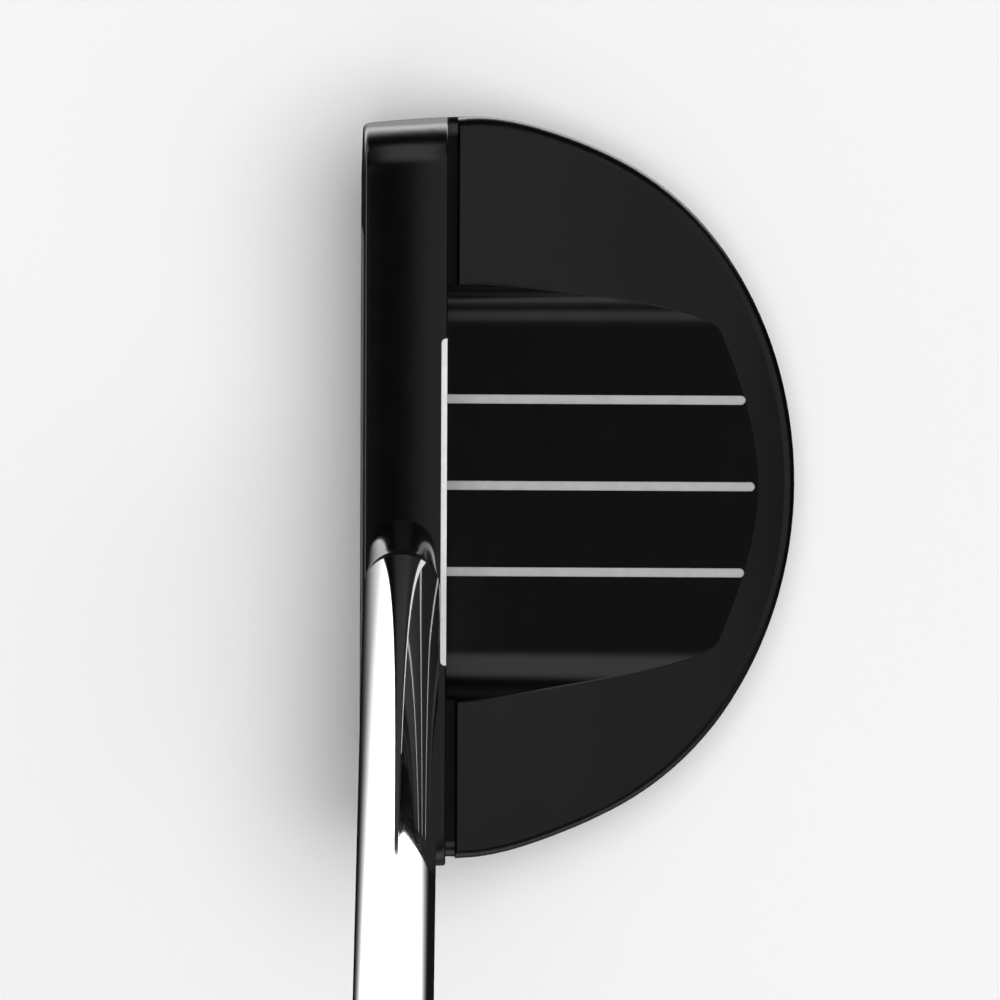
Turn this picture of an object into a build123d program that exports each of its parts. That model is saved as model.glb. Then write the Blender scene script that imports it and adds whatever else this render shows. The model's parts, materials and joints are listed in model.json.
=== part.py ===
from build123d import *

import os
from math import cos, radians, sin, sqrt

# Mallet putter: a half-moon head with a raised topline bar, a chromed steel shaft and a pistol grip.
#
# Frame: origin on the ground at the middle of the flat sole. -X is the target side, where the face
# is, +X the rear, +Y the toe, -Y the heel and the golfer, +Z up. Lengths are in millimetres.
# A depth is measured rearwards from the top edge of the face.

# Head, in plan
face_x = -27.0
face_half_width = 47.6
moon_center_depth = 14.0
belt_radius_x = 41.75
belt_radius_y = 48.6
sole_face_half_width = 37.0
sole_radius_x = 35.5
sole_radius_y = 38.0
front_margin = 3.0
face_loft = 2.0

# Head, in height
bar_height = 22.8
floor_height = 8.6
belt_front_height = 12.0
belt_rear_height = 3.8
belt_edge_radius = 3.0
outline_edge_radius = 0.8
leading_edge_radius = 4.0
above_head = 40.0

# Topline bar
bar_depth = 10.7
bar_crown_radius = 20.0
bar_end_radius = 5.2
bar_crown_stock = 0.02
bar_edge_radius = 0.35

# Channel, pods and sunk floor
channel_width = 1.2
channel_height = 15.5
channel_end_radius = 3.0
channel_straight_half = 46.3
dish_sideways_radius = 360.0
dish_line = ((10.7, 17.1), (25.7, 12.3), (38.6, 10.2), (45.6, 9.22), (50.7, 8.63), (56.0, 8.3), (61.0, 8.15))
cove_radius = 7.0
floor_half_width = 20.3
rim_radius = 1.4
pod_front_height = 16.72
pod_front_slope = 17.8
pod_front_radius = 0.62
pod_side_radius = 0.3

# Painted lines
groove_pitch = 11.35
groove_width = 1.2
groove_depth = 0.5
groove_length = 38.6
center_groove_length = 39.9
paint_recess = 0.12
stripe_length = 42.67
stripe_width = 0.75
stripe_depth = 0.6
stripe_recess = 0.06
stripe_corner = 0.55

# Hosel, whose stud sits in the bar and whose spigot carries the shaft
lie_angle = 71.5
hosel_depth = 5.0
hosel_y = -6.7
stud_radius = 2.5
stud_length = 7.5
stud_bond = 0.15
shoulder_foot_radius = 4.3
shoulder_top_radius = 4.9
shoulder_height = 9.0
shoulder_sunk = 2.2
spigot_radius = 4.25
spigot_length = 32.0

# Shaft: parallel tip, then evenly spaced steps up to the butt
shaft_tip_radius = 4.9
shaft_butt_radius = 7.5
shaft_wall = 0.5
tip_length = 165.0
step_count = 10
step_pitch = 38.0
step_taper = 1.5
club_length = 870.0

# Grip: sections as distance from the mouth, width, thickness and shift towards the palm
grip_length = 265.0
grip_sections = (
    (0, 18.6, 18.6, 0),
    (55, 21.8, 20.6, 0.6),
    (150, 24.6, 23.4, 1.8),
    (215, 26.2, 28.0, 4.2),
    (grip_length, 27.6, 32.6, 6.4),
)
grip_corner_share = 0.42
grip_edge_radius = 1.2
grip_tape_thickness = 0.25
cap_thickness = 4.0
cap_edge_radius = 1.6
cap_plug_radius = 6.4
cap_plug_length = 9.0
cap_vent_radius = 1.25

# Face plate and the adhesive film behind it
face_plate_width = 68.0
face_plate_height = 12.6
face_plate_corner = 2.0
face_plate_below_top = 9.5
face_plate_thickness = 1.6
face_tape_thickness = 0.2

# Sole cavity, its D-shaped cover and the screws round it
cover_front_depth = 20.0
cover_radius_x = 26.0
cover_radius_y = 31.0
cover_corner = 3.0
cover_thickness = 1.6
gasket_thickness = 0.3
ledge_width = 4.4
cavity_height = 5.6
screw_inset = 2.5
screw_angles = (-80, -32, 32, 80)
screw_head_radius = 2.1
screw_radius = 1.15
screw_length = 5.4
screw_recess = 0.15
screw_socket_radius = 0.85
screw_socket_depth = 0.9

# Sole weights at toe and heel, each on a rubber ring
weight_depth = 11.5
weight_y = 29.5
weight_radius = 6.4
weight_height = 4.2
weight_gap = 0.1
weight_stem_radius = 3.5
weight_stem_height = 4.0
weight_recess = 0.4
weight_edge = 0.4
weight_socket_radius = 2.25
weight_socket_depth = 2.6
ring_thickness = 0.8
ring_outer_radius = 5.8

os.makedirs("parts", exist_ok=True)


def depth(value):
    """X of a place that lies value behind the top edge of the face."""
    return face_x + value


def half_moon(face_half, radius_x, radius_y):
    """Half-moon outline on the ground: a straight front, and half an ellipse behind it."""
    front = depth(-front_margin)
    middle = depth(moon_center_depth)
    with BuildSketch() as outline:
        with BuildLine():
            Line((front, -face_half), (front, face_half))
            TangentArc((middle, radius_y), (front, face_half), tangent=(-1, 0))
            EllipticalCenterArc((middle, 0), radius_x, radius_y, start_angle=-90, arc_size=180)
            TangentArc((middle, -radius_y), (front, -face_half), tangent=(-1, 0))
        make_face()
    return outline.sketch


def cover_outline(inset):
    """D-shaped outline of the sole cover, drawn in by an inset."""
    with BuildSketch(Plane(origin=(depth(cover_front_depth), 0, 0))) as outline:
        Ellipse(cover_radius_x - inset, cover_radius_y - inset)
        with Locations((inset, 0)):
            Rectangle(cover_radius_x, 2 * cover_radius_y, align=(Align.MAX, Align.CENTER),
                      mode=Mode.SUBTRACT)
        fillet(outline.vertices(), cover_corner)
    return outline.sketch


def groove_outline(length, radius):
    """Outline of one groove on the floor, from the bar's rear wall to its round far end."""
    with BuildSketch(Plane(origin=(depth(bar_depth), 0, floor_height - groove_depth))) as outline:
        Rectangle(length - radius, 2 * radius, align=(Align.MIN, Align.CENTER))
        with Locations((length - radius, 0)):
            Circle(radius)
    return outline.sketch


def stripe_outline(height):
    """Outline of the stripe along the bar's rear edge, its front corners rounded."""
    with BuildSketch(Plane(origin=(depth(bar_depth), 0, height))) as outline:
        Rectangle(stripe_width, stripe_length, align=(Align.MAX, Align.CENTER))
        fillet(outline.vertices().group_by(Axis.X)[0], stripe_corner)
    return outline.sketch


def channel_outline():
    """Side view of what the channel removes: a floor that sags like the dish, with its ends rolled over."""
    floor_radius = dish_sideways_radius + channel_height
    end_height = sqrt(floor_radius**2 - channel_straight_half**2) - dish_sideways_radius
    slope = channel_straight_half / floor_radius
    outside = channel_straight_half + channel_end_radius * (1 - slope)
    with BuildSketch(Plane.YZ.offset(depth(bar_depth))) as outline:
        with BuildLine():
            half = RadiusArc((0, channel_height), (channel_straight_half, end_height), floor_radius)
            lowest = end_height - channel_end_radius * (1 + slope)
            roll = TangentArc(half @ 1, (outside, lowest), tangent=half % 1)
            beyond = face_half_width + front_margin
            Polyline(roll @ 1, (beyond, 0), (beyond, above_head), (0, above_head))
            mirror(about=Plane.YZ)
        make_face()
    return outline.sketch


def on_belt(edge):
    """True for an edge that lies in the plane of the head's widest line."""
    return abs(belt_plane.to_local_coords(edge.center()).Z) < 0.01


def grip_outline(distance, width, thickness, shift):
    """Section of the grip: a rounded rectangle across the shaft's axis, shifted towards the palm."""
    with BuildSketch(shaft_plane.offset(grip_start + distance)) as outline:
        with Locations((0, -shift)):
            RectangleRounded(width, thickness, grip_corner_share * width)
    return outline.sketch


def save(piece, name):
    """Label a finished piece and write it under the same name."""
    piece.label = name
    export_step(piece, f"parts/{name}.step")
    print(f"{name}: {len(piece.solids())} solid(s), {piece.volume / 1000:.3f} cm3")


# Planes: the widest line falls from the face to the rear, and the face leans back by its loft
bar_edge_height = bar_height - bar_crown_radius + sqrt(bar_crown_radius**2 - bar_depth**2 / 4)
belt_run = moon_center_depth + belt_radius_x
belt_fall = belt_front_height - belt_rear_height
belt_plane = Plane(
    origin=(face_x, 0, belt_front_height), x_dir=(belt_run, 0, -belt_fall), z_dir=(belt_fall, 0, belt_run)
)
loft_x = cos(radians(face_loft))
loft_z = sin(radians(face_loft))
face_plane = Plane(origin=(face_x, 0, bar_edge_height), x_dir=(0, -1, 0), z_dir=(-loft_x, 0, loft_z))
face_plate_plane = Plane(
    origin=face_plane.from_local_coords((0, -face_plate_below_top, 0)),
    x_dir=face_plane.x_dir,
    z_dir=face_plane.z_dir,
)
belt_outline = half_moon(face_half_width, belt_radius_x, belt_radius_y)
sole_outline = half_moon(sole_face_half_width, sole_radius_x, sole_radius_y)

cover_x = depth(cover_front_depth)
screw_places = [
    (
        cover_x + (cover_radius_x - screw_inset) * cos(radians(angle)),
        (cover_radius_y - screw_inset) * sin(radians(angle)),
    )
    for angle in screw_angles
]
weight_places = [(depth(weight_depth), weight_y), (depth(weight_depth), -weight_y)]
channel_side = channel_outline()
side_groove = groove_outline(groove_length, groove_width / 2)
grooves = {
    "alignment_line_toe": side_groove.moved(Location((0, groove_pitch, 0))),
    "alignment_line_center": groove_outline(center_groove_length, groove_width / 2),
    "alignment_line_heel": side_groove.moved(Location((0, -groove_pitch, 0))),
}

# The shaft's axis rises from the top of the bar towards the heel
shaft_plane = Plane(
    origin=(depth(hosel_depth), hosel_y, bar_height),
    x_dir=(1, 0, 0),
    z_dir=(0, -cos(radians(lie_angle)), sin(radians(lie_angle))),
)

with BuildPart() as head_body:
    # Walls above the widest line, a little over height, and the shell that draws in to the sole
    extrude(belt_outline, amount=bar_height + bar_crown_stock)
    split(bisect_by=belt_plane, keep=Keep.TOP)
    loft([sole_outline, faces().sort_by(Axis.Z)[0]], ruled=True)
    split(bisect_by=face_plane, keep=Keep.BOTTOM)
    fillet(edges().group_by(Axis.Z)[0].sort_by(Axis.X)[0], leading_edge_radius)
    fillet(edges().filter_by(on_belt), belt_edge_radius)
    # Dished top behind the bar, and its rounded rim
    with BuildSketch(Plane.XZ):
        with BuildLine():
            line = Spline([(depth(d), z) for d, z in dish_line])
            behind = depth(dish_line[-1][0])
            Polyline(line @ 1, (behind, above_head), (depth(bar_depth), above_head), line @ 0)
        make_face()
    revolve(axis=Axis((0, 0, -dish_sideways_radius), (1, 0, 0)), mode=Mode.SUBTRACT)
    fillet(edges().filter_by_position(Axis.Z, 7, 9).sort_by(Axis.X)[-1], rim_radius)
    # Bar, crowned from front to rear and rounded off at toe and heel
    with BuildSketch(Plane.XZ):
        with Locations((depth(-front_margin), bar_height - bar_crown_radius / 2)):
            Rectangle(front_margin + bar_depth, above_head, align=(Align.MIN, Align.MIN))
        with Locations((depth(bar_depth / 2), bar_height - bar_crown_radius)):
            Circle(bar_crown_radius, mode=Mode.SUBTRACT)
    extrude(amount=2 * face_half_width, both=True, mode=Mode.SUBTRACT)
    fillet(edges().group_by(Axis.Z)[-1].group_by(SortBy.LENGTH)[0], bar_end_radius)
    fillet(edges().group_by(Axis.Z)[0].sort_by(Axis.X)[1:], outline_edge_radius)
    # Shallow channel between the bar and the pods, rolled over at toe and heel
    extrude(channel_side, amount=channel_width, mode=Mode.SUBTRACT)
    # Sunk floor with a cove along each side
    cove_top = (floor_half_width + cove_radius, floor_height + cove_radius)
    with BuildSketch(Plane.YZ.offset(depth(bar_depth))):
        with BuildLine():
            Line((0, floor_height), (floor_half_width, floor_height))
            RadiusArc((floor_half_width, floor_height), cove_top, -cove_radius)
            Polyline(cove_top, (cove_top[0], above_head), (0, above_head))
            mirror(about=Plane.YZ)
        make_face()
    extrude(amount=2 * face_half_width, mode=Mode.SUBTRACT)
    # Rounded front edge of the pods
    pod_front = depth(bar_depth + channel_width)
    with BuildSketch(Plane.XZ):
        with BuildLine():
            roll_center = (pod_front + 0.985 * pod_front_radius, pod_front_height - 1.35 * pod_front_radius)
            roll = CenterArc(roll_center, pod_front_radius, 85 - pod_front_slope, 100 + pod_front_slope)
            Polyline(roll @ 1, (pod_front - 0.3, (roll @ 1).Y), (pod_front - 0.3, above_head),
                     ((roll @ 0).X, above_head), roll @ 0)
        make_face()
    revolve(axis=Axis((0, 0, -dish_sideways_radius), (1, 0, 0)), mode=Mode.SUBTRACT)
    # Softened edges of the pods and the bar
    side_edges = edges().filter_by_position(Axis.X, 0, 5)
    fillet(side_edges.filter_by_position(Axis.Z, floor_height + 1, floor_height + 3), pod_side_radius)
    bar_edges = edges().filter_by(Axis.Y).filter_by_position(Axis.Z, bar_edge_height - 0.2, bar_height)
    fillet(bar_edges, bar_edge_radius)
    # Rebate for the stripe, and the three floor grooves
    extrude(stripe_outline(bar_edge_height - stripe_depth), amount=above_head, mode=Mode.SUBTRACT)
    for groove in grooves.values():
        extrude(groove, amount=groove_depth, mode=Mode.SUBTRACT)
    # Pocket in the face
    with BuildSketch(face_plate_plane):
        RectangleRounded(face_plate_width, face_plate_height, face_plate_corner)
    extrude(amount=-(face_plate_thickness + face_tape_thickness), mode=Mode.SUBTRACT)
    # Seat for the hosel: a spot face for its foot and a bore for its stud
    with BuildSketch(shaft_plane.offset(-shoulder_sunk)):
        Circle(shoulder_foot_radius)
    extrude(amount=above_head, mode=Mode.SUBTRACT)
    with BuildSketch(shaft_plane.offset(-shoulder_sunk)):
        Circle(stud_radius + stud_bond)
    extrude(amount=-stud_length - stud_bond, mode=Mode.SUBTRACT)
    # Hollow underside with a ledge for its cover
    extrude(cover_outline(0), amount=cover_thickness + gasket_thickness, mode=Mode.SUBTRACT)
    extrude(cover_outline(ledge_width), amount=cavity_height, mode=Mode.SUBTRACT)
    with BuildSketch():
        with Locations(screw_places):
            Circle(screw_radius)
    extrude(amount=screw_recess + screw_length, mode=Mode.SUBTRACT)
    # Stepped bores for the sole weights
    with BuildSketch():
        with Locations(weight_places):
            Circle(weight_radius + weight_gap)
    extrude(amount=weight_recess + weight_height + ring_thickness, mode=Mode.SUBTRACT)
    with BuildSketch():
        with Locations(weight_places):
            Circle(weight_stem_radius)
    extrude(amount=weight_recess + weight_height + ring_thickness + weight_stem_height, mode=Mode.SUBTRACT)
save(head_body.part, "head_body")

with BuildPart() as face_insert:
    with BuildSketch(face_plate_plane.offset(-face_plate_thickness)):
        RectangleRounded(face_plate_width, face_plate_height, face_plate_corner)
    extrude(amount=face_plate_thickness)
save(face_insert.part, "face_insert")

with BuildPart() as face_insert_tape:
    with BuildSketch(face_plate_plane.offset(-face_plate_thickness - face_tape_thickness)):
        RectangleRounded(face_plate_width, face_plate_height, face_plate_corner)
    extrude(amount=face_tape_thickness)
save(face_insert_tape.part, "face_insert_tape")

for name, groove in grooves.items():
    with BuildPart() as alignment_line:
        extrude(groove, amount=groove_depth - paint_recess)
    save(alignment_line.part, name)

with BuildPart() as topline_stripe:
    extrude(stripe_outline(bar_edge_height - stripe_depth), amount=stripe_depth - stripe_recess)
save(topline_stripe.part, "topline_stripe")

with BuildPart() as sole_plate:
    extrude(cover_outline(0), amount=cover_thickness)
    with BuildSketch():
        with Locations(screw_places):
            Circle(screw_radius)
    extrude(amount=cover_thickness, mode=Mode.SUBTRACT)
    with BuildSketch():
        with Locations(screw_places):
            Circle(screw_head_radius)
    extrude(amount=screw_recess, mode=Mode.SUBTRACT)
    with Locations(Plane.XY.offset(screw_recess)):
        with Locations(screw_places):
            Cone(screw_head_radius, screw_radius, screw_head_radius - screw_radius,
                 align=(Align.CENTER, Align.CENTER, Align.MIN), mode=Mode.SUBTRACT)
save(sole_plate.part, "sole_plate")

with BuildPart() as sole_plate_gasket:
    with BuildSketch(Plane.XY.offset(cover_thickness)):
        add(cover_outline(0).moved(Location((0, 0, cover_thickness))))
        add(cover_outline(ledge_width).moved(Location((0, 0, cover_thickness))), mode=Mode.SUBTRACT)
        with Locations(screw_places):
            Circle(screw_radius, mode=Mode.SUBTRACT)
    extrude(amount=gasket_thickness)
save(sole_plate_gasket.part, "sole_plate_gasket")

with BuildPart() as sole_plate_screws:
    with Locations(Plane.XY.offset(screw_recess)):
        with Locations(screw_places):
            Cone(screw_head_radius, screw_radius, screw_head_radius - screw_radius,
                 align=(Align.CENTER, Align.CENTER, Align.MIN))
            Cylinder(screw_radius, screw_length, align=(Align.CENTER, Align.CENTER, Align.MIN))
    with BuildSketch(Plane.XY.offset(screw_recess)):
        with Locations(screw_places):
            RegularPolygon(screw_socket_radius, 6)
    extrude(amount=screw_socket_depth, mode=Mode.SUBTRACT)
save(sole_plate_screws.part, "sole_plate_screws")

for side, place in zip(("toe", "heel"), weight_places):
    with BuildPart() as weight:
        with BuildSketch(Plane.XY.offset(weight_recess)):
            with Locations(place):
                Circle(weight_radius)
        extrude(amount=weight_height)
        chamfer(edges().group_by(Axis.Z)[0], weight_edge)
        with BuildSketch(Plane.XY.offset(weight_recess + weight_height)):
            with Locations(place):
                Circle(weight_stem_radius)
        extrude(amount=ring_thickness + weight_stem_height)
        with BuildSketch(Plane.XY.offset(weight_recess)):
            with Locations(place):
                RegularPolygon(weight_socket_radius, 6)
        extrude(amount=weight_socket_depth, mode=Mode.SUBTRACT)
    save(weight.part, f"{side}_weight")

    with BuildPart() as weight_ring:
        with BuildSketch(Plane.XY.offset(weight_recess + weight_height)):
            with Locations(place):
                Circle(ring_outer_radius)
                Circle(weight_stem_radius, mode=Mode.SUBTRACT)
        extrude(amount=ring_thickness)
    save(weight_ring.part, f"{side}_weight_ring")

# Everything below turns about the shaft's axis, so it is drawn as radius and distance along the axis
turning_plane = Plane(origin=shaft_plane.origin, x_dir=shaft_plane.x_dir, z_dir=-shaft_plane.y_dir)
shaft_axis = Axis(shaft_plane.origin, shaft_plane.z_dir)
shaft_start = shoulder_height
ground_to_plane = bar_height / sin(radians(lie_angle))
cap_start = club_length - ground_to_plane - cap_thickness
grip_start = club_length - ground_to_plane - grip_length

with BuildPart() as hosel:
    with BuildSketch(turning_plane):
        with BuildLine():
            foot = (shoulder_foot_radius, 0.6)
            flare = Spline(
                foot,
                (shoulder_top_radius, shoulder_height),
                tangents=((0, 1), (0.16, 1)),
            )
            Polyline(
                flare @ 1,
                (spigot_radius, shoulder_height),
                (spigot_radius, shoulder_height + spigot_length - 1),
                (spigot_radius - 1, shoulder_height + spigot_length),
                (0, shoulder_height + spigot_length),
                (0, -shoulder_sunk - stud_length),
                (stud_radius, -shoulder_sunk - stud_length),
                (stud_radius, -shoulder_sunk),
                (shoulder_foot_radius, -shoulder_sunk),
                foot,
            )
        make_face()
    revolve(axis=shaft_axis)
save(hosel.part, "hosel")

with BuildPart() as hosel_bond:
    with BuildSketch(shaft_plane.offset(-shoulder_sunk)):
        Circle(stud_radius + stud_bond)
    extrude(amount=-stud_length - stud_bond)
    with BuildSketch(shaft_plane.offset(-shoulder_sunk)):
        Circle(stud_radius)
    extrude(amount=-stud_length, mode=Mode.SUBTRACT)
save(hosel_bond.part, "hosel_bond")

with BuildPart() as shaft_bond:
    with BuildSketch(shaft_plane.offset(shaft_start)):
        Circle(shaft_tip_radius - shaft_wall)
        Circle(spigot_radius, mode=Mode.SUBTRACT)
    extrude(amount=spigot_length - 1)
save(shaft_bond.part, "shaft_bond")

step_rise = (shaft_butt_radius - shaft_tip_radius) / step_count
step_points = [(shaft_tip_radius, shaft_start)]
for step in range(step_count):
    step_start = shaft_start + tip_length + step * step_pitch
    step_points.append((shaft_tip_radius + step * step_rise, step_start))
    step_points.append((shaft_tip_radius + (step + 1) * step_rise, step_start + step_taper))
step_points.append((shaft_butt_radius, cap_start))
bore_points = [(radius - shaft_wall, distance) for radius, distance in reversed(step_points)]

with BuildPart() as shaft:
    with BuildSketch(turning_plane):
        with BuildLine():
            Polyline(*step_points, *bore_points, close=True)
        make_face()
    revolve(axis=shaft_axis)
save(shaft.part, "shaft")

with BuildPart() as grip_tape:
    with BuildSketch(shaft_plane.offset(grip_start)):
        Circle(shaft_butt_radius + grip_tape_thickness)
        Circle(shaft_butt_radius, mode=Mode.SUBTRACT)
    extrude(amount=cap_start - grip_start)
save(grip_tape.part, "grip_tape")

grip_outlines = [grip_outline(*section) for section in grip_sections]
with BuildPart() as grip:
    loft(grip_outlines)
    split(bisect_by=shaft_plane.offset(cap_start), keep=Keep.BOTTOM)
    fillet(edges().sort_by(shaft_axis)[:8], grip_edge_radius)
    with BuildSketch(shaft_plane.offset(grip_start)):
        Circle(shaft_butt_radius + grip_tape_thickness)
    extrude(amount=grip_length, mode=Mode.SUBTRACT)
save(grip.part, "grip")

with BuildPart() as grip_end_cap:
    loft(grip_outlines)
    split(bisect_by=shaft_plane.offset(cap_start), keep=Keep.TOP)
    fillet(edges().sort_by(shaft_axis)[-8:], cap_edge_radius)
    with BuildSketch(shaft_plane.offset(cap_start)):
        Circle(cap_plug_radius)
    extrude(amount=-cap_plug_length)
    with BuildSketch(shaft_plane.offset(cap_start - cap_plug_length)):
        Circle(cap_vent_radius)
    extrude(amount=cap_plug_length + cap_thickness, mode=Mode.SUBTRACT)
save(grip_end_cap.part, "grip_end_cap")
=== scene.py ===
import json
import math

import bpy
import numpy as np
from mathutils import Matrix, Vector
from mathutils.bvhtree import BVHTree


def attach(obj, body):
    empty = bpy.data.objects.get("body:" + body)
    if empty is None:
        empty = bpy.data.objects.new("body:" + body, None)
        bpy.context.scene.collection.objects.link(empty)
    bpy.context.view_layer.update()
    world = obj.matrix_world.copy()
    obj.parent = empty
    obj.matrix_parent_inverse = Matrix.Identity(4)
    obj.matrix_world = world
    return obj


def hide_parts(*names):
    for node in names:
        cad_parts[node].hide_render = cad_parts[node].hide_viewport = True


# A mallet putter seen from above at address. Metres; -X is the target side, +Y the toe, +Z up.
MM = 0.001
# Where nearly all of a noise lies, the sides of round pieces, and the least change of radius that counts
NOISE_RANGE = (0.3, 0.7)
TURNED_SEGMENTS, GRIP_SEGMENTS = 192, 264
SAME_RADIUS = 1e-6

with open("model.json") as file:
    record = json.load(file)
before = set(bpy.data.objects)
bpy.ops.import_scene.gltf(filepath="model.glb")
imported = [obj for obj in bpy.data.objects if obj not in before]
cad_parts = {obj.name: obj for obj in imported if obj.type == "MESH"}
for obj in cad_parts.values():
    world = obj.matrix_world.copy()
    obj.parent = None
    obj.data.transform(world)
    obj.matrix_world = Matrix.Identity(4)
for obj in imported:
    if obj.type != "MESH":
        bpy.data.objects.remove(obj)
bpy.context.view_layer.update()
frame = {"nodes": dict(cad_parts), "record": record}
nodes = frame["nodes"]
mounts = {mount["name"]: mount for mount in frame["record"]["mounts"]}


# ---------------------------------------------------------------- materials

def new_material(name, color, roughness, metallic=0.0, specular=0.5):
    """A principled material with its even values set on the shader."""
    material = bpy.data.materials.new(name)
    material.use_nodes = True
    shader = material.node_tree.nodes["Principled BSDF"]
    shader.inputs["Base Color"].default_value = (*color, 1)
    shader.inputs["Roughness"].default_value = roughness
    shader.inputs["Metallic"].default_value = metallic
    shader.inputs["Specular IOR Level"].default_value = specular
    return material


def add(material, kind, **values):
    """Adds a node and sets its inputs by name."""
    node = material.node_tree.nodes.new(kind)
    for name, value in values.items():
        node.inputs[name.title()].default_value = value
    return node


def join(material, source, target):
    material.node_tree.links.new(source, target)


def coordinates(material, stretch=(1, 1, 1), turn=(0, 0, 0)):
    """Object coordinates in metres, stretched and then turned."""
    source = add(material, "ShaderNodeTexCoord")
    mapping = add(material, "ShaderNodeMapping")
    mapping.inputs["Rotation"].default_value = turn
    mapping.inputs["Scale"].default_value = stretch
    join(material, source.outputs["Object"], mapping.inputs["Vector"])
    return mapping.outputs["Vector"]


def noise(material, size, detail=3.0, vector=None):
    """Noise whose grains are about size metres across."""
    node = add(material, "ShaderNodeTexNoise", scale=1 / size, detail=detail)
    join(material, vector or coordinates(material), node.inputs["Vector"])
    return node.outputs["Fac"]


def vary_color(material, factor, dark, light):
    """Base colour runs from dark to light over the usual range of the noise."""
    ramp = add(material, "ShaderNodeValToRGB")
    for element, position, color in zip(ramp.color_ramp.elements, NOISE_RANGE, (dark, light)):
        element.position = position
        element.color = (*color, 1)
    join(material, factor, ramp.inputs["Fac"])
    join(material, ramp.outputs["Color"], material.node_tree.nodes["Principled BSDF"].inputs["Base Color"])


def vary_roughness(material, factor, low, high):
    """Roughness runs from low to high over the usual range of the noise."""
    spread = add(material, "ShaderNodeMapRange")
    for name, value in zip(("From Min", "From Max", "To Min", "To Max"), (*NOISE_RANGE, low, high)):
        spread.inputs[name].default_value = value
    join(material, factor, spread.inputs["Value"])
    join(material, spread.outputs["Result"], material.node_tree.nodes["Principled BSDF"].inputs["Roughness"])


def bump(material, height, depth):
    """Relief of that depth in metres, laid over any relief the material has already."""
    shader = material.node_tree.nodes["Principled BSDF"]
    node = add(material, "ShaderNodeBump", strength=1.0, distance=depth)
    join(material, height, node.inputs["Height"])
    if shader.inputs["Normal"].is_linked:
        join(material, shader.inputs["Normal"].links[0].from_socket, node.inputs["Normal"])
    join(material, node.outputs["Normal"], shader.inputs["Normal"])


def lines(material, pitch, turn):
    """Parallel ridges, pitch metres apart, across the X axis of the turned coordinates."""
    waves_per_unit = 20 / (2 * math.pi)
    node = add(material, "ShaderNodeTexWave", scale=1 / (waves_per_unit * pitch))
    join(material, coordinates(material, turn=turn), node.inputs["Vector"])
    return node.outputs["Fac"]


def head_black():
    """Fine bead-blasted steel under a satin black coat."""
    m = new_material("head_black", (0.002, 0.002, 0.0021), 0.2, specular=0.62)
    vary_color(m, noise(m, 6 * MM, 4), (0.0017, 0.0017, 0.0018), (0.0024, 0.0024, 0.0025))
    vary_roughness(m, noise(m, 2.5 * MM, 5), 0.18, 0.22)
    bump(m, noise(m, 0.22 * MM, 2), 0.0005 * MM)
    return m


def hosel_black():
    """Gloss black over turned steel."""
    m = new_material("hosel_black", (0.003, 0.003, 0.003), 0.12, specular=0.5)
    vary_color(m, noise(m, 4 * MM), (0.0024, 0.0024, 0.0025), (0.0034, 0.0034, 0.0036))
    vary_roughness(m, noise(m, 1.5 * MM, 4), 0.1, 0.15)
    bump(m, noise(m, 0.6 * MM, 2), 0.0008 * MM)
    return m


def shaft_chrome():
    """Bright chrome plating, its polish very slightly uneven."""
    m = new_material("shaft_chrome", (0.93, 0.935, 0.94), 0.03, metallic=1.0)
    vary_color(m, noise(m, 8 * MM), (0.915, 0.92, 0.925), (0.945, 0.947, 0.95))
    vary_roughness(m, noise(m, 3 * MM, 5), 0.022, 0.05)
    bump(m, noise(m, 1.2 * MM, 1), 0.0002 * MM)
    return m


def paint(name, dark, light):
    """Poured enamel with a trace of orange peel."""
    m = new_material(name, light, 0.38, specular=0.5)
    vary_color(m, noise(m, 1.5 * MM, 4), dark, light)
    vary_roughness(m, noise(m, 0.8 * MM), 0.32, 0.45)
    bump(m, noise(m, 0.5 * MM, 2), 0.004 * MM)
    return m


def face_metal():
    """Aluminium, fly-cut both ways so that fine lines cross."""
    m = new_material("face_metal", (0.5, 0.5, 0.51), 0.34, metallic=1.0)
    vary_color(m, noise(m, 3 * MM, 4), (0.46, 0.46, 0.47), (0.55, 0.55, 0.56))
    vary_roughness(m, noise(m, 1 * MM, 4), 0.28, 0.42)
    bump(m, lines(m, 0.55 * MM, turn=(math.radians(45), 0, math.radians(90))), 0.012 * MM)
    bump(m, lines(m, 0.55 * MM, turn=(math.radians(-45), 0, math.radians(90))), 0.012 * MM)
    return m


def sole_metal():
    """Brushed aluminium, dark anodised."""
    m = new_material("sole_metal", (0.09, 0.09, 0.095), 0.36, metallic=1.0)
    brushed = noise(m, 0.35 * MM, 4, coordinates(m, stretch=(1, 0.03, 1)))
    vary_color(m, brushed, (0.07, 0.07, 0.075), (0.12, 0.12, 0.125))
    vary_roughness(m, brushed, 0.3, 0.45)
    bump(m, brushed, 0.004 * MM)
    return m


def turned_steel(name, color, grain):
    """Stainless steel with a fine machined grain and a little handling."""
    m = new_material(name, color, 0.28, metallic=1.0)
    vary_color(m, noise(m, 1.6 * MM, 4), tuple(0.85 * c for c in color), color)
    vary_roughness(m, noise(m, 0.7 * MM, 5), 0.2, 0.36)
    bump(m, noise(m, grain, 3), 0.003 * MM)
    return m


def rubber(name, dark, light, grain):
    """Moulded rubber with a fine grain."""
    m = new_material(name, light, 0.62, specular=0.35)
    vary_color(m, noise(m, 5 * MM, 5), dark, light)
    vary_roughness(m, noise(m, 1.4 * MM, 4), 0.55, 0.72)
    bump(m, noise(m, grain, 3), 0.02 * MM)
    return m


def adhesive():
    """Cured adhesive and tape, out of sight."""
    m = new_material("adhesive", (0.55, 0.5, 0.38), 0.5)
    vary_color(m, noise(m, 2 * MM, 4), (0.48, 0.43, 0.32), (0.6, 0.55, 0.42))
    bump(m, noise(m, 1 * MM, 3), 0.02 * MM)
    return m


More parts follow.
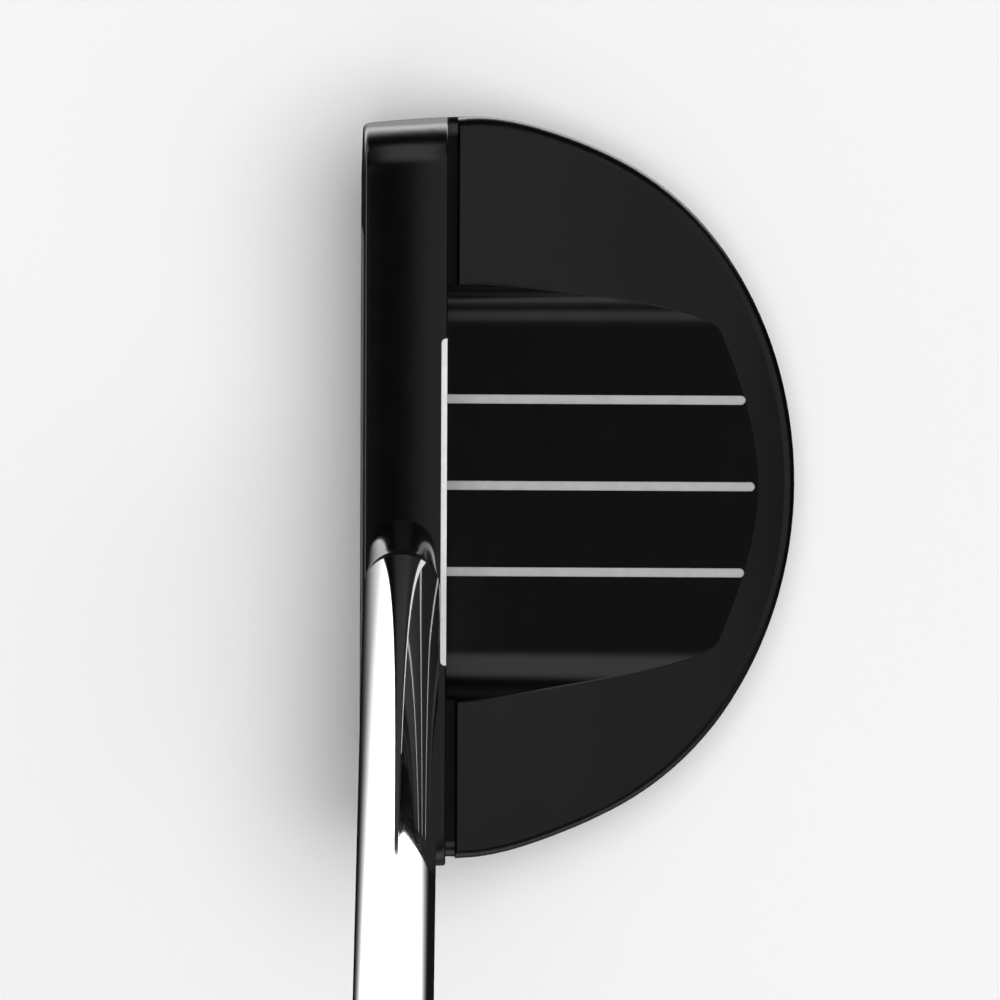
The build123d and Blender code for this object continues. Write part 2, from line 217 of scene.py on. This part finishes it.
materials = {
    "head_black": head_black(),
    "hosel_black": hosel_black(),
    "shaft_chrome": shaft_chrome(),
    "line_white": paint("line_white", (0.76, 0.76, 0.76), (0.84, 0.84, 0.84)),
    "line_gray": paint("line_gray", (0.4, 0.4, 0.4), (0.46, 0.46, 0.46)),
    "face_metal": face_metal(),
    "sole_metal": sole_metal(),
    "weight_steel": turned_steel("weight_steel", (0.56, 0.56, 0.55), 0.12 * MM),
    "screw_steel": turned_steel("screw_steel", (0.12, 0.12, 0.125), 0.1 * MM),
    "seal_rubber": rubber("seal_rubber", (0.015, 0.015, 0.015), (0.025, 0.025, 0.025), 0.3 * MM),
    "adhesive": adhesive(),
    "grip_rubber": rubber("grip_rubber", (0.026, 0.026, 0.0265), (0.038, 0.038, 0.0385), 0.25 * MM),
    "cap_rubber": rubber("cap_rubber", (0.026, 0.026, 0.0265), (0.036, 0.036, 0.0365), 0.35 * MM),
}
for part in frame["record"]["subparts"]:
    node = nodes[part["node"]]
    node.data.materials.clear()
    node.data.materials.append(materials[part["material_slot"]])


# ---------------------------------------------------------------- pieces about the shaft's axis

axis = Vector(mounts["grip"]["axis"]).normalized()
on_axis = Vector(mounts["grip"]["pos_m"])
thumb = axis.cross(Vector((1, 0, 0))).normalized()
to_world = Matrix((
    (1, thumb.x, axis.x, on_axis.x),
    (0, thumb.y, axis.y, on_axis.y),
    (0, thumb.z, axis.z, on_axis.z),
    (0, 0, 0, 1),
))
to_axis = to_world.inverted()


def place(name, rings, slot, close_start=False, close_end=False, sharp=35.0):
    """A piece on the root body from rings of points about the shaft's axis; sharp is in degrees."""
    count = len(rings[0])
    points = np.array(rings).reshape(-1, 3)
    faces = []
    for r in range(len(rings) - 1):
        for k in range(count):
            n = (k + 1) % count
            faces.append((r * count + k, r * count + n, (r + 1) * count + n, (r + 1) * count + k))
    if close_start:
        faces.append(tuple(range(count - 1, -1, -1)))
    if close_end:
        last = (len(rings) - 1) * count
        faces.append(tuple(range(last, last + count)))
    mesh = bpy.data.meshes.new(name)
    mesh.from_pydata(points.tolist(), [], faces)
    mesh.transform(to_world)
    mesh.update()
    mesh.shade_smooth()
    mesh.set_sharp_from_angle(angle=math.radians(sharp))
    mesh.materials.append(materials[slot])
    piece = bpy.data.objects.new(name, mesh)
    bpy.context.scene.collection.objects.link(piece)
    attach(piece, "root")
    return piece


def turned(name, profile, slot, **options):
    """A turned piece from (radius, distance) pairs along the axis, in metres."""
    turns = np.linspace(0, 2 * math.pi, TURNED_SEGMENTS, endpoint=False)
    rings = [[(r * math.cos(a), r * math.sin(a), d) for a in turns] for r, d in profile]
    return place(name, rings, slot, **options)


def stations(node):
    """(distance, smallest radius, largest radius) at each ring of a turned CAD node, along the axis."""
    found = {}
    for vertex in nodes[node].data.vertices:
        p = to_axis @ vertex.co
        found.setdefault(round(p.z, 6), []).append(math.hypot(p.x, p.y))
    return [(d, min(found[d]), max(found[d])) for d in sorted(found)]


def eased(points, rise, steps=6):
    """Turns each straight ramp shorter than rise into a smooth one."""
    out = [points[0]]
    for (r0, d0), (r1, d1) in zip(points, points[1:]):
        if abs(d1 - d0) < rise and abs(r1 - r0) > SAME_RADIUS:
            for k in range(1, steps + 1):
                t = k / steps
                s = t * t * (3 - 2 * t)
                out.append((r0 + (r1 - r0) * s, d0 + (d1 - d0) * t))
        else:
            out.append((r1, d1))
    return out


def rounded(points, radius, steps=4):
    """Rounds each corner of a profile by that radius, or by less where a side is short."""
    least_turn, most_of_side = math.radians(20), 0.45
    out = [points[0]]
    for before, corner, after in zip(points, points[1:], points[2:]):
        a, b, c = Vector(before), Vector(corner), Vector(after)
        back, ahead = a - b, c - b
        turn = back.angle(-ahead)
        if turn < least_turn:
            out.append(corner)
            continue
        shorter = min(back.length, ahead.length)
        reach = min(radius * math.tan(turn / 2), most_of_side * shorter)
        start, end = b + back.normalized() * reach, b + ahead.normalized() * reach
        for k in range(steps + 1):
            t = k / steps
            out.append(tuple(start * (1 - t) ** 2 + b * 2 * t * (1 - t) + end * t ** 2))
    out.append(points[-1])
    return out


def shaft_tube():
    """The shaft: the CAD node's own profile with blended steps, a broken tip edge and fine segments."""
    longest_ramp = 3 * MM
    edge = 0.12 * MM
    rings = stations("shaft")
    outside = eased([(r_max, d) for d, r_min, r_max in rings], longest_ramp)
    inside = eased([(r_min, d) for d, r_min, r_max in rings], longest_ramp)
    radius, distance = outside[0]
    tip = [
        (radius - edge, distance),
        (radius - 0.3 * edge, distance + 0.3 * edge),
        (radius, distance + edge),
    ]
    shaft = turned("shaft_tube", tip + outside[1:] + inside[::-1] + tip[:1], "shaft_chrome")
    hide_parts("shaft")


def hosel_turned():
    """The hosel: the CAD node's own profile with broken edges and fine segments."""
    least_step = 0.01 * MM
    edge = 0.14 * MM
    profile = []
    for d, r_min, r_max in stations("hosel"):
        rising = not profile or profile[-1][0] < r_max
        radii = (r_min, r_max) if rising else (r_max, r_min)
        profile += [(r, d) for r in (radii if r_max - r_min > least_step else radii[:1])]
    hosel = turned("hosel_turned", rounded(profile, edge), "hosel_black",
                   close_start=True, close_end=True, sharp=50)
    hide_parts("hosel")


def outside_of(node):
    """A finder of a node's outside radius, at an angle about the axis and a distance along it."""
    tree = BVHTree.FromObject(nodes[node], bpy.context.evaluated_depsgraph_get())
    far = 60 * MM

    def radius(angle, distance):
        away = to_world.to_3x3() @ Vector((math.cos(angle), math.sin(angle), 0))
        center = to_world @ Vector((0, 0, distance))
        gap = tree.ray_cast(center + away * far, -away, far)[3]
        return far - gap

    return radius


def thumb_dimple(from_thumb, distance):
    """A round dimple in staggered rows, 0 between dimples and 1 at the middle of one."""
    row_pitch, column_pitch, half_width = 2.6 * MM, math.radians(9), 0.36
    row = round(distance / row_pitch)
    stagger = 0.5 * column_pitch * (row % 2)
    across = math.remainder(from_thumb - stagger, column_pitch) / (half_width * column_pitch)
    along = (distance - row * row_pitch) / (half_width * row_pitch)
    return max(0.0, 1 - (across * across + along * along))


def side_dash(from_thumb, distance):
    """A dash in staggered, slanted rows, 0 between dashes and 1 at the middle of one."""
    row_pitch, column_pitch, slant = 3.4 * MM, math.radians(26), 5 * MM
    half_height, half_width = 0.24, 0.4
    rows = (distance + slant * abs(from_thumb)) / row_pitch
    row = math.floor(rows)
    along = abs(rows - row - 0.5) / half_height
    stagger = 0.5 * column_pitch * (row % 2)
    across = abs(math.remainder(from_thumb + stagger, column_pitch)) / (half_width * column_pitch)
    return max(0.0, 1 - along ** 2) * max(0.0, 1 - across ** 4)


def grip_relief(angle, distance, length):
    """Depth of the moulded pattern: dimples over the thumb flat, slanted dashes round the sides and palm."""
    plain_mouth, plain_butt, fade = 16 * MM, 14 * MM, 5 * MM
    dimple_reach, dash_start = math.radians(36), math.radians(50)
    dimple_depth, dash_depth = 0.3 * MM, 0.34 * MM
    start, end = plain_mouth, length - plain_butt
    if not start < distance < end:
        return 0.0
    strength = min(1.0, (distance - start) / fade, (end - distance) / fade)
    from_thumb = math.remainder(angle - math.pi / 2, 2 * math.pi)
    if abs(from_thumb) < dimple_reach:
        return dimple_depth * strength * thumb_dimple(from_thumb, distance)
    if abs(from_thumb) < dash_start:
        return 0.0
    return dash_depth * strength * side_dash(from_thumb, distance)


def grip_sleeve():
    """The grip: the CAD node's outside with the moulded pattern pressed into it, and its bore."""
    rings = stations("grip")
    mouth, butt = rings[0][0], rings[-1][0]
    bore = min(r_min for d, r_min, r_max in rings)
    length = butt - mouth
    angles = np.linspace(0, 2 * math.pi, GRIP_SEGMENTS, endpoint=False)
    outside = outside_of("grip")
    # Rings from the mouth to the butt: close together over the rounded ends, 0.56 mm apart between them
    ends = np.array([0.02, 0.1, 0.25, 0.5, 0.8, 1.2, 1.8]) * MM
    middle = np.arange(2.4 * MM, length - 2.3 * MM, 0.56 * MM)
    skin = []
    for step in np.concatenate([ends, middle, length - ends[::-1]]):
        d = mouth + step
        ring = []
        for a in angles:
            r = outside(a, d) - grip_relief(a, step, length)
            ring.append((r * math.cos(a), r * math.sin(a), d))
        skin.append(ring)

    def bore_ring(distance):
        return [(bore * math.cos(a), bore * math.sin(a), distance) for a in angles]

    def between(ring_a, ring_b, t, distance):
        """A flat ring part of the way from one ring to another."""
        pairs = zip(ring_a, ring_b)
        return [(a[0] + (b[0] - a[0]) * t, a[1] + (b[1] - a[1]) * t, distance) for a, b in pairs]

    mouth_bore, butt_bore = bore_ring(mouth), bore_ring(butt)
    mouth_face = [mouth_bore] + [between(mouth_bore, skin[0], t, mouth) for t in (0.5, 0.97)]
    butt_face = [between(butt_bore, skin[-1], 0.97, butt), butt_bore]
    grip = place("grip_sleeve", mouth_face + skin + butt_face + [mouth_bore], "grip_rubber", sharp=40)
    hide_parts("grip")


shaft_tube()
hosel_turned()
grip_sleeve()


# ---------------------------------------------------------------- studio

def sun(name, tilt, azimuth, spread, strength):
    """A soft light, left out of reflections: tilt is from straight up and azimuth from +X, in degrees."""
    tilt, azimuth = math.radians(tilt), math.radians(azimuth)
    away = Vector((math.sin(tilt) * math.cos(azimuth), math.sin(tilt) * math.sin(azimuth), math.cos(tilt)))
    light = bpy.data.lights.new(name, "SUN")
    light.angle = math.radians(spread)
    light.energy = strength
    source = bpy.data.objects.new(name, light)
    source.rotation_euler = away.to_track_quat("Z", "Y").to_euler()
    source.visible_glossy = False
    bpy.context.scene.collection.objects.link(source)


sun("light_key", 17, 45, 72, 2.2)
sun("light_fill", 66, 300, 110, 0.5)


class Sums:
    """Writes arithmetic as nodes of one tree."""

    def __init__(self, tree):
        self.tree = tree

    def math(self, operation, *values):
        """One sum of sockets and numbers."""
        node = self.tree.nodes.new("ShaderNodeMath")
        node.operation = operation
        for socket, value in zip(node.inputs, values):
            if isinstance(value, (int, float)):
                socket.default_value = value
            else:
                self.tree.links.new(value, socket)
        return node.outputs[0]

    def product(self, first, *others):
        for other in others:
            first = self.math("MULTIPLY", first, other)
        return first

    def step(self, value, low, high):
        """Rises smoothly from 0 at low to 1 at high, or falls where low is the larger."""
        node = self.tree.nodes.new("ShaderNodeMapRange")
        node.interpolation_type = "SMOOTHSTEP"
        for name, number in (("From Min", low), ("From Max", high)):
            node.inputs[name].default_value = number
        self.tree.links.new(value, node.inputs["Value"])
        return node.outputs["Result"]

    def lobe(self, direction, toward, spread):
        """A round soft spot, 1 at its middle and 0.6 at spread degrees from it."""
        node = self.tree.nodes.new("ShaderNodeVectorMath")
        node.operation = "DOT_PRODUCT"
        self.tree.links.new(direction, node.inputs[0])
        node.inputs[1].default_value = Vector(toward).normalized()
        sharpness = 1 / math.radians(spread) ** 2
        return self.math("EXPONENT", self.math("MULTIPLY_ADD", node.outputs["Value"], sharpness, -sharpness))

    def ramp(self, value, levels):
        """Gray levels read off straight lines between (position, level) pairs."""
        node = self.tree.nodes.new("ShaderNodeValToRGB")
        elements = node.color_ramp.elements
        while len(elements) < len(levels):
            elements.new(0.5)
        for element, (position, level) in zip(elements, levels):
            element.position = position
            element.color = (level, level, level, 1)
        self.tree.links.new(value, node.inputs["Fac"])
        return node.outputs["Color"]


def studio_world():
    """The room that shiny surfaces reflect: soft boxes round a dark middle, pale walls, a bright floor."""
    world = bpy.data.worlds.new("studio")
    world.use_nodes = True
    tree = world.node_tree
    sums = Sums(tree)
    direction = tree.nodes.new("ShaderNodeTexCoord").outputs["Generated"]
    split = tree.nodes.new("ShaderNodeSeparateXYZ")
    tree.links.new(direction, split.inputs["Vector"])
    x, y, z = split.outputs
    from_x, from_y = sums.math("ABSOLUTE", x), sums.math("ABSOLUTE", y)
    # Soft boxes: a wide one behind the head, strips at toe and heel, a small one on the target side
    behind = sums.product(sums.step(x, -0.1, 0.4), sums.step(z, 0.12, 0.4), sums.step(from_y, 0.65, 0.35))
    strip = sums.product(sums.step(from_x, 0.46, 0.22), sums.step(z, 0.2, 0.5))
    toe = sums.product(sums.step(y, 0.2, 0.52), strip)
    heel = sums.product(sums.step(y, -0.42, -0.62), sums.step(z, 0.52, 0.68), strip)
    target = sums.lobe(direction, (-0.6, 0, 0.8), 7)
    # Walls: a pale band round the horizon on the target and heel sides, and a faint glow low at the heel
    band = sums.product(sums.step(z, 0.32, 0.2), sums.step(z, -0.3, -0.15))
    target_wall = sums.product(sums.step(x, -0.55, -0.85), band)
    heel_wall = sums.product(sums.step(y, -0.6, -0.85), band)
    glow = sums.product(sums.step(y, -0.3, -0.8), sums.step(z, 0.6, 0.3))
    total = sums.math("MULTIPLY_ADD", glow, 0.15, 0.008)
    for shape, level in ((behind, 0.33), (toe, 0.74), (heel, 0.62), (target, 0.4), (target_wall, 1.2),
                         (heel_wall, 0.5)):
        total = sums.math("MULTIPLY_ADD", shape, level, total)
    # Floor: brightest 37 to 49 degrees out from straight down, on the toe side and less of it to the rear
    outward = sums.math("MULTIPLY_ADD", sums.math("MAXIMUM", x, 0.0), -0.5, y)
    side = sums.step(outward, -0.15, 0.35)
    down = sums.math("MULTIPLY", z, -1.0)
    floor_level = sums.ramp(down, [(0.0, 0.0), (0.25, 0.03), (0.34, 0.15), (0.42, 0.25), (0.5, 0.42),
                                   (0.57, 0.65), (0.65, 0.85), (0.8, 0.85), (0.92, 0.4), (1.0, 0.2)])
    total = sums.math("ADD", total, sums.product(floor_level, side, 4.0))
    tree.links.new(total, tree.nodes["Background"].inputs["Color"])
    bpy.context.scene.world = world


studio_world()


def stage():
    """A pale round floor under the sole and a pale dome all round, both left out of reflections."""
    reach, sides, brightness = 30.0, 96, 0.93
    turns = np.linspace(0, 2 * math.pi, sides, endpoint=False)
    circle = [(reach * math.cos(a), reach * math.sin(a)) for a in turns]
    mesh = bpy.data.meshes.new("floor")
    mesh.from_pydata([(x, y, 0) for x, y in circle], [], [tuple(range(sides))])
    ground = bpy.data.objects.new("floor", mesh)
    m = new_material("floor", (0.93, 0.93, 0.93), 0.9, specular=0.1)
    vary_color(m, noise(m, 0.3, 2), (0.925, 0.925, 0.925), (0.935, 0.935, 0.935))
    mesh.materials.append(m)
    rings = [[(x * math.cos(t), y * math.cos(t), reach * math.sin(t)) for x, y in circle]
             for t in np.radians([0, 15, 30, 45, 60, 75, 88])]
    faces = []
    for r in range(len(rings) - 1):
        low, high = r * sides, (r + 1) * sides
        faces += [(low + k, high + k, high + (k + 1) % sides, low + (k + 1) % sides) for k in range(sides)]
    top = (len(rings) - 1) * sides
    faces.append(tuple(range(top + sides - 1, top - 1, -1)))
    mesh = bpy.data.meshes.new("backdrop")
    mesh.from_pydata([point for ring in rings for point in ring], [], faces)
    wall = bpy.data.objects.new("backdrop", mesh)
    m = new_material("backdrop", (0.0, 0.0, 0.0), 1.0, specular=0.0)
    shader = m.node_tree.nodes["Principled BSDF"]
    shader.inputs["Emission Color"].default_value = (1, 1, 1, 1)
    shader.inputs["Emission Strength"].default_value = brightness
    mesh.materials.append(m)
    for piece in (ground, wall):
        bpy.context.scene.collection.objects.link(piece)
        piece.visible_glossy = False
    wall.visible_diffuse = wall.visible_shadow = wall.visible_transmission = False


stage()


# ---------------------------------------------------------------- camera

def camera():
    """Above the head and a little towards the toe, a long lens looking down at the address position."""
    tilt, roll = math.radians(9.5), math.radians(0.3)
    target, distance = Vector((-9.45, -1.9, 8.6)) * MM, 1.6
    away = Vector((0, math.sin(tilt), math.cos(tilt)))
    right = Vector((1, 0, 0))
    up = away.cross(right)
    right, up = (
        right * math.cos(roll) + up * math.sin(roll),
        up * math.cos(roll) - right * math.sin(roll),
    )
    data = bpy.data.cameras.new("camera")
    data.lens = 444
    data.sensor_width = 36
    data.clip_start, data.clip_end = 0.05, 100
    eye = bpy.data.objects.new("camera", data)
    spot = target + away * distance
    eye.matrix_world = Matrix((
        (right.x, up.x, away.x, spot.x),
        (right.y, up.y, away.y, spot.y),
        (right.z, up.z, away.z, spot.z),
        (0, 0, 0, 1),
    ))
    bpy.context.scene.collection.objects.link(eye)
    bpy.context.scene.camera = eye


camera()
bpy.context.scene.view_settings.view_transform = "Standard"

bpy.context.view_layer.update()
